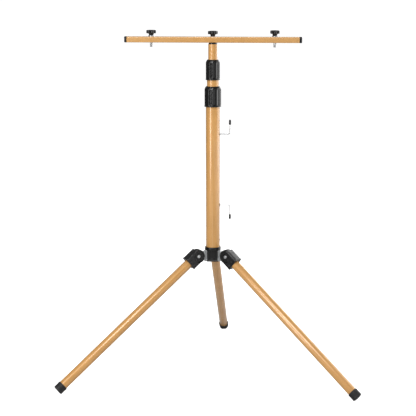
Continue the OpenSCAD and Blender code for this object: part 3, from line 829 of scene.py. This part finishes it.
def build_legs():
    """Sockets, tubes, screws and rubber feet. All three legs have the same shapes."""
    verts, faces, normals = surface(socket_field, (-20.5, -16, -20.5), (64.5, 16, 22), 0.55)
    # the end of the cap's rim, 2 mm back from its face, dips 0.8 mm below the floor
    rim_height = PIVOT_Z + (LEG_OFFSET - CAP_R) * math.cos(LEG_SLOPE)
    cap_end = (rim_height + 0.8) / math.sin(LEG_SLOPE) + 2
    shift = Matrix.Translation((0, 0, LEG_OFFSET))
    leg = tube(LEG_TUBE_R, LEG_TUBE_R - WALL, SOCKET_FLOOR + 0.2, cap_end - CAP_FLOOR, axis="X")
    leg = moved(leg, shift)
    cap = moved(foot_cap(cap_end), shift)
    under = Matrix.Translation((SOCKET_SCREW, 0, LEG_OFFSET - SOCKET_HALF[1] + 1.5))
    one = moved(screw(3.8, 1.4, 1.95, 9, 1.7, 1.0), under @ Matrix.Rotation(math.pi, 4, "X"))
    for side, azimuth in LEGS.items():
        body = f"leg_{side}"
        place = leg_matrix(azimuth)
        make_object(f"knuckle_{side}", verts, faces, body, [f"leg_socket_{side}"],
                    NYLON, normals, place)
        hard_object(f"leg_{side}_tube", leg, body, [f"leg_tube_{side}"], GOLD, place)
        hard_object(f"foot_{side}", cap, body, [f"foot_cap_{side}"], RUBBER, place)
        hard_object(f"knuckle_{side}_screw", one, body, [f"leg_screw_{side}"], ZINC, place)


def foot_cap(cap_end):
    """Rubber foot along X: a ribbed skirt and a chamfered end, worn flat where it meets the floor."""
    length = 21.0
    inner = LEG_TUBE_R + 0.03
    outline = [(0, cap_end, 0), (CAP_R - 2, cap_end, 0.3)]
    outline += [(CAP_R, cap_end - 2, 0.3), (CAP_R, cap_end - 4.2, 0.2)]
    for i in range(4):
        s = cap_end - 5.0 - 2.6 * i
        outline += [(CAP_R - 0.55, s, 0.2), (CAP_R - 0.55, s - 0.8, 0.2)]
        outline += [(CAP_R, s - 1.2, 0.2), (CAP_R, s - 2.2, 0.2)]
    end = cap_end - length
    outline += [(CAP_R, end + 2.6, 0.3), (CAP_R + 0.4, end + 2.1, 0.3)]
    outline += [(CAP_R + 0.4, end + 0.9, 0.4), (CAP_R - 0.7, end, 0.3), (inner, end, 0.2)]
    outline += [(inner, cap_end - CAP_FLOOR, 0), (0, cap_end - CAP_FLOOR, 0)]
    verts, faces = weld(*lathe(fillet(outline, closed=False, steps=3), closed=False, axis="X"))
    s, c = math.sin(LEG_SLOPE), math.cos(LEG_SLOPE)
    height = PIVOT_Z - verts[:, 0] * s + (verts[:, 2] + LEG_OFFSET) * c
    verts[:, 2] += np.maximum(0.0, -height) / c
    return verts, faces


# ---- mast ----


def twist_collar(name, node, body, inner_r, crown_z):
    """Twist collar: a fluted grip between a plain lip and a rounded shoulder, and a cone inside.

    It clamps a tube of radius inner_r, and crown_z is the foot of the collet's fingers.
    """
    rim, z0, z1 = round_size(node)
    r = rim - COLLAR_RIM
    bore = inner_r + 4.5
    throat = inner_r + 0.35
    outline = [
        (bore, z0, 0.4), (rim, z0, 0.7), (rim, z0 + 1.8, 0.5), (r, z0 + 2.6, 0.4), (r, z1 - 8.0, 4.0),
        (r - 1.5, z1 - 3.6, 3.0), (r - 4.4, z1, 1.2), (throat, z1, 0.5), (throat, crown_z + 14, 0),
        (inner_r + 1.8, crown_z + 12.3, 0), (inner_r + 2.75, crown_z + 1.2, 0),
        (bore, crown_z + 0.35, 0)]
    profile = []
    longest = 1.6  # the flutes need rows this close together
    for a, b in pairs(fillet(outline, steps=4)):
        outside = a[0] > bore and b[0] > bore
        steps = max(1, int(abs(b[1] - a[1]) / longest)) if outside else 1
        for i in range(steps):
            t = i / steps
            profile.append((a[0] + (b[0] - a[0]) * t, a[1] + (b[1] - a[1]) * t))

    def radius(rr, h, angle):
        across = np.mod(angle / TAU * FLUTES + FLUTE_TURN, 1.0) * 2 - 1
        groove = np.sin(across * math.pi / 2) ** 2 * FLUTE_DEPTH
        low_end = 1 / (1 + np.exp(-(h - z0 - 4.0) * 2.2))
        high_end = 1 / (1 + np.exp(h - z1 + 7.0))
        return np.where(rr > r - FLUTE_DEPTH, rr - groove * low_end * high_end, rr)

    part = lathe(profile, 288, radius_of=radius)
    hard_object(name, part, body, [node], NYLON, degrees=50)


def pairs(points):
    """Each point of a closed outline with the next one."""
    return zip(points, points[1:] + points[:1])


def build_mast():
    tubes = {
        "mast_section_lower": ("mast_tube_lower", "stand_base", 1.5),
        "mast_section_middle": ("mast_tube_middle", "middle_mast", WALL),
        "mast_section_upper": ("mast_tube_upper", "upper_mast", WALL)}
    for name, (node, body, wall) in tubes.items():
        r, z0, z1 = round_size(node)
        hard_object(name, tube(r, r - wall, z0, z1), body, [node], GOLD)
    twist_collar("twist_grip_lower", "lower_twist_collar", "lower_collar", 16.0, 778.0)
    twist_collar("twist_grip_upper", "upper_twist_collar", "upper_collar", 12.5, 850.0)
    one = screw(4.0, 2.2, 1.9, 6, 1.6, 1.2)
    copies = []
    for azimuth in MAST_SCREW_AZIMUTHS:
        place = turn_z(azimuth) @ Matrix.Translation((MAST_R, 0, MAST_SCREW_Z))
        copies.append(moved(one, place @ Matrix.Rotation(math.pi / 2, 4, "Y")))
    hard_object("mast_screw_set", join(*copies), "stand_base", ["mast_screws"], ZINC)
    face = BAR_Z - 0.1
    seat = BAR_Z - 22
    plug = lathe(fillet([
        (11.0, 876, 0.5), (11.24, 884, 0), (11.24, 911.6, 0), (11.5, 911.6, 0.1), (11.5, face, 0.8),
        (6.0, face, 0.3), (6.0, seat, 0), (5.0, seat, 0), (5.0, 877, 0)], steps=3))
    hard_object("mast_end_plug", plug, "upper_mast", ["top_plug"], NYLON)
    rivet = weld(*lathe(fillet([
        (0, -3.9, 0), (1.75, -3.9, 0), (1.75, 0, 0), (3.25, 0, 0.1), (3.2, 0.6, 0.4), (1.6, 1.2, 0.3),
        (1.2, 0.9, 0), (0, 0.7, 0)], closed=False, steps=3), 48, closed=False))
    place = Matrix.Translation((0, 12.5, 890)) @ Matrix.Rotation(-math.pi / 2, 4, "X")
    hard_object("plug_rivet", moved(rivet, place), "upper_mast", ["top_plug_rivet"], ZINC)


# ---- crossbar ----


def build_bar():
    half = half_width("crossbar")
    corner = 2.2
    outer = rounded_square(BAR_W / 2, corner)
    inner = rounded_square(BAR_W / 2 - WALL, 1.0)
    edge = rounded_square(BAR_W / 2 - 0.25, corner)
    stations = [(-half, edge), (-half + 0.3, outer), (0, outer), (half - 0.3, outer), (half, edge)]
    stations += [(half, inner), (0, inner), (-half, inner)]
    part = loft(stations, closed=True)
    part = moved(part, Matrix.Translation((0, 0, BAR_Z + BAR_W / 2)))
    holes = [(0, 0, 4.3, BAR_Z - 1, BAR_Z + BAR_W + 1)]
    for x in (-LAMP_X, LAMP_X):
        holes += [(x, 0, 4.5, BAR_Z - 1, BAR_Z + 4), (x, 0, 5.5, BAR_Z + BAR_W - 5, BAR_Z + BAR_W + 5)]
    part = pierce(part, holes)
    hard_object("bar_tube", part, "crossbar", ["crossbar"], GOLD, degrees=30)
    for side, sign in (("left", -1), ("right", 1)):
        end_plug(side, sign, half)
    insert = lathe(fillet([
        (3.65, BAR_TOP - 10, 0.2), (5.2, BAR_TOP - 10, 0.2), (5.45, BAR_TOP - 6, 0.3), (5.45, BAR_TOP, 0),
        (7.0, BAR_TOP + 0.03, 0.1), (7.0, BAR_TOP + 1.0, 0.35), (3.9, BAR_TOP + 1.0, 0.2),
        (3.65, BAR_TOP + 0.6, 0)], steps=3), 64)
    copies = [moved(insert, Matrix.Translation((x, 0, 0))) for x in (-LAMP_X, LAMP_X)]
    hard_object("bar_insert_set", join(*copies), "crossbar", ["bar_rivet_nuts"], ZINC)


def end_plug(side, sign, half):
    """Moulded end cap: a domed face, a shallow moulding ring and a ribbed spigot in the tube."""
    grip = BAR_W / 2 - WALL - 0.05
    rows = [(half - 14, grip - 0.8, 1.2)]
    for i in range(4):
        x = half - 12.5 + 3.0 * i
        rows += [(x, grip - 0.5, 1.2), (x + 0.5, grip, 1.4)]
        rows += [(x + 1.2, grip, 1.4), (x + 1.7, grip - 0.5, 1.2)]
    side_w = BAR_W / 2
    rows += [
        (half + 0.02, grip - 0.5, 1.2), (half + 0.03, side_w + 0.1, 2.3), (half + 0.5, side_w + 0.2, 2.4),
        (half + 4.9, side_w + 0.2, 2.4), (half + 5.8, side_w - 0.05, 2.4), (half + 6.5, side_w - 0.8, 2.4),
        (half + 6.9, side_w - 2.0, 2.2), (half + 7.0, side_w - 3.2, 2.0), (half + 6.7, side_w - 3.6, 2.0),
        (half + 6.7, 1.6, 1.0), (half + 6.9, 1.3, 0.8)]
    part = loft([(sign * x, rounded_square(size, corner)) for x, size, corner in rows])
    part = moved(part, Matrix.Translation((0, 0, BAR_Z + BAR_W / 2)))
    hard_object(f"bar_plug_{side}", part, "crossbar", [f"bar_end_cap_{side}"], NYLON,
                degrees=40)


def build_knobs():
    """Star knobs with threaded studs and washers, one in the middle and one over each lamp place."""
    verts, faces, normals = surface(knob_field, (-15, -15, -1.5), (15, 15, 16.5), 0.5)
    for side, x in (("centre", 0), ("left", -LAMP_X), ("right", LAMP_X)):
        lamp = side != "centre"
        # the nodes' names; a knob's and a washer's body has the same name as its node
        name = "lamp_{}_" + side if lamp else "centre_{}"
        knob, stud, flat = (name.format(part) for part in ("knob", "stud", "washer"))
        base = box_mm(knob)[0][2]
        place = Matrix.Translation(Vector((x, 0, base)) * MM)
        place = place @ Matrix.Rotation(0.25 + 0.4 * x / LAMP_X, 4, "Z")
        make_object(f"star_knob_{side}", verts, faces, knob, [knob], NYLON, normals, place)
        low, high = box_mm(stud)
        rod = thread(STUD_R if lamp else 3.6, low[2], high[2] - 0.6)
        if lamp:
            rod = slim_above(rod, BAR_Z - 0.8, INSERTED_R)
        across = Matrix.Translation((x, 0, 0))
        hard_object(f"stud_{side}", moved(rod, across), knob, [stud], ZINC, degrees=60)
        low, high = box_mm(flat)
        ring = washer(8.0 if lamp else 6.5, STUD_R + 0.2, low[2], high[2])
        hard_object(f"washer_{side}", moved(ring, across), flat, [flat], ZINC)


def slim_above(part, z, radius):
    """Holds a rod within a radius above a height, where it runs in an insert."""
    verts, faces = part
    r = np.hypot(verts[:, 0], verts[:, 1])
    scale = np.where((verts[:, 2] > z) & (r > radius), radius / np.maximum(r, 1e-6), 1.0)
    return np.stack([verts[:, 0] * scale, verts[:, 1] * scale, verts[:, 2]], 1), faces


# ---- cord hooks ----


def build_hooks():
    """Wire hooks screwed into the mast, each with a dipped tip and a flanged bush."""
    hole = WIRE_R + 0.03
    flange = lathe(fillet([
        (hole, -1.4, 0), (2.95, -1.4, 0.2), (2.95, 0.02, 0), (4.5, 0.02, 0.1), (4.5, 0.7, 0.3),
        (3.4, 1.02, 0.2), (hole, 1.02, 0.15)], steps=3), 48)
    bend = 5
    copies = []
    for node, sign in (("lower", -1), ("upper", 1)):
        low, high = box_mm(f"cord_hook_{node}")
        arm_z = low[2] + WIRE_R if sign > 0 else high[2] - WIRE_R
        reach = high[0] - WIRE_R
        path = [(x, 0, arm_z) for x in (17.7, 18.5, reach - bend - 0.6)]
        for i in range(13):
            a = math.pi / 2 * i / 12
            path.append((reach - bend + bend * math.sin(a), 0, arm_z + sign * bend * (1 - math.cos(a))))
        path += [(reach, 0, arm_z + sign * rise) for rise in (5.6, 20, 35.9)]
        hard_object(f"hook_wire_{node}", sweep(path, WIRE_R), "stand_base", [f"cord_hook_{node}"],
                    ZINC, degrees=50)
        tip = moved(tip_part(sign), Matrix.Translation((reach, 0, arm_z)))
        hard_object(f"hook_sleeve_{node}", tip, "stand_base", [f"hook_tip_{node}"], VINYL,
                    degrees=40)
        place = Matrix.Translation((MAST_R, 0, arm_z)) @ Matrix.Rotation(math.pi / 2, 4, "Y")
        copies.append(moved(flange, place))
    hard_object("hook_bush_set", join(*copies), "stand_base", ["hook_inserts"], ZINC)


def tip_part(sign):
    """Dipped sleeve on a hook's end: a soft lip at its mouth and a round end. It points up or down."""
    hole = WIRE_R + 0.02
    outline = [
        (hole, 25.6, 0.2), (2.9, 25.6, 0.9), (3.2, 27.3, 0.8), (3.05, 29.0, 1.2), (3.15, 35.6, 2.0),
        (2.4, 38.9, 1.6), (0, 39.4, 0), (0, 36.6, 0), (hole, 36.6, 0)]
    verts, faces = weld(*lathe(fillet(outline), 48))
    return verts * np.array((1, 1, sign)), faces


# ---- parts kept as the frame drew them ----


def keep_cad():
    """Parts hidden inside the mast stay as the frame drew them, with their own materials."""
    inside = {
        "lower_collet": ("black_nylon", NYLON), "upper_collet": ("black_nylon", NYLON),
        "middle_guide_bush": ("grey_acetal", ACETAL), "upper_guide_bush": ("grey_acetal", ACETAL),
        "top_insert": ("brass", BRASS)}
    for node, (slot_name, material) in inside.items():
        obj = frame["nodes"][node]
        obj.data.materials.clear()
        obj.data.materials.append(material)


# ---- floor, light and camera ----


def pale_floor():
    """A wide, nearly white studio floor. It glows to the camera and throws little light back up."""
    s = Surface("studio_floor", 0.8)
    s.bsdf.inputs["Specular IOR Level"].default_value = 0.1
    seen = s.node("ShaderNodeLightPath").outputs["Is Camera Ray"]
    cloud = s.span(s.noise(2.0, 3), 0.3, 0.7, 0, 1)
    pale = s.blend(cloud, (0.90, 0.90, 0.90), (0.93, 0.93, 0.93))
    s.colour(s.blend(seen, (FLOOR_BOUNCE, FLOOR_BOUNCE, FLOOR_BOUNCE), pale))
    s.bsdf.inputs["Emission Color"].default_value = (1, 1, 1, 1)
    # painted light: its right side, towards the wide lamp, glows in reflections, a painted bright patch
    # that no lamp casts
    split = s.node("ShaderNodeSeparateXYZ")
    s.link(s.node("ShaderNodeNewGeometry").outputs["Position"], split.inputs[0])
    glossy_glow = s.node("ShaderNodeMath", operation="MULTIPLY")
    s.link(s.node("ShaderNodeLightPath").outputs["Is Glossy Ray"], glossy_glow.inputs[0])
    s.link(s.span(split.outputs["X"], 0.7, 2.0, FLOOR_GLOSSY_GLOW[0], FLOOR_GLOSSY_GLOW[1]), glossy_glow.inputs[1])
    glow = s.node("ShaderNodeMath", operation="ADD")
    s.link(s.span(seen, 0, 1, 0, FLOOR_GLOW), glow.inputs[0])
    s.link(glossy_glow.outputs[0], glow.inputs[1])
    s.link(glow.outputs[0], s.bsdf.inputs["Emission Strength"])
    mesh = bpy.data.meshes.new("studio_floor")
    far = 60.0
    mesh.from_pydata([(-far, -far, 0), (far, -far, 0), (far, far, 0), (-far, far, 0)], [], [(0, 1, 2, 3)])
    floor = bpy.data.objects.new("studio_floor", mesh)
    mesh.materials.append(s.mat)
    bpy.context.scene.collection.objects.link(floor)


def softbox(name, place, aim, size, power):
    """A rectangular lamp, unseen by the camera, turned towards a point."""
    lamp = bpy.data.lights.new(name, "AREA")
    lamp.shape = "RECTANGLE"
    lamp.size, lamp.size_y = size
    lamp.energy = power
    obj = bpy.data.objects.new(name, lamp)
    obj.location = place
    obj.rotation_euler = (Vector(aim) - Vector(place)).to_track_quat("-Z", "Y").to_euler()
    obj.visible_camera = False
    bpy.context.scene.collection.objects.link(obj)


def studio():
    """A room that is white to the camera but dim as a light, and five softboxes.

    A tall one is at the front left and a wide one on the right. The rest are high in front,
    overhead and behind.
    """
    world = bpy.data.worlds.new("studio")
    bpy.context.scene.world = world
    world.use_nodes = True
    tree = world.node_tree
    back = tree.nodes["Background"]
    path = tree.nodes.new("ShaderNodeLightPath")
    mix = tree.nodes.new("ShaderNodeMix")
    mix.inputs[2].default_value = AMBIENT
    mix.inputs[3].default_value = 1.0
    tree.links.new(path.outputs["Is Camera Ray"], mix.inputs[0])
    tree.links.new(mix.outputs[0], back.inputs["Strength"])
    back.inputs["Color"].default_value = (1, 1, 1, 1)
    softbox("key_box", (-1.35, -1.95, 0.85), (0, 0, 0.75), (0.5, 1.4), 20)
    softbox("side_box", (2.4, 0.6, 1.2), (0, 0, 0.7), (2.4, 2.2), 36)
    softbox("front_box", (-0.3, -3.0, 2.8), (0, 0, 0.4), (1.5, 1.5), 64)
    softbox("top_box", (-0.4, 0.6, 3.6), (0, 0, 0.3), (3.0, 3.0), 12)
    softbox("back_box", (1.3, 3.0, 1.7), (0, 0, 0.5), (2.0, 2.0), 38)


def photo_camera():
    """Camera at the photograph's place, on a long lens."""
    data = bpy.data.cameras.new("photo_camera")
    data.lens = 115.04
    data.sensor_width = 36
    data.shift_x, data.shift_y = -0.01174, 0.00108
    obj = bpy.data.objects.new("photo_camera", data)
    obj.location = (0.2699, -3.5726, 1.1133)
    obj.rotation_euler = (math.radians(90 - 10.27), 0, math.radians(4.32))
    bpy.context.scene.collection.objects.link(obj)
    bpy.context.scene.camera = obj


build_hub()
build_pivots()
build_legs()
build_mast()
build_bar()
build_knobs()
build_hooks()
keep_cad()
pale_floor()
studio()
photo_camera()
bpy.context.scene.view_settings.view_transform = "Standard"
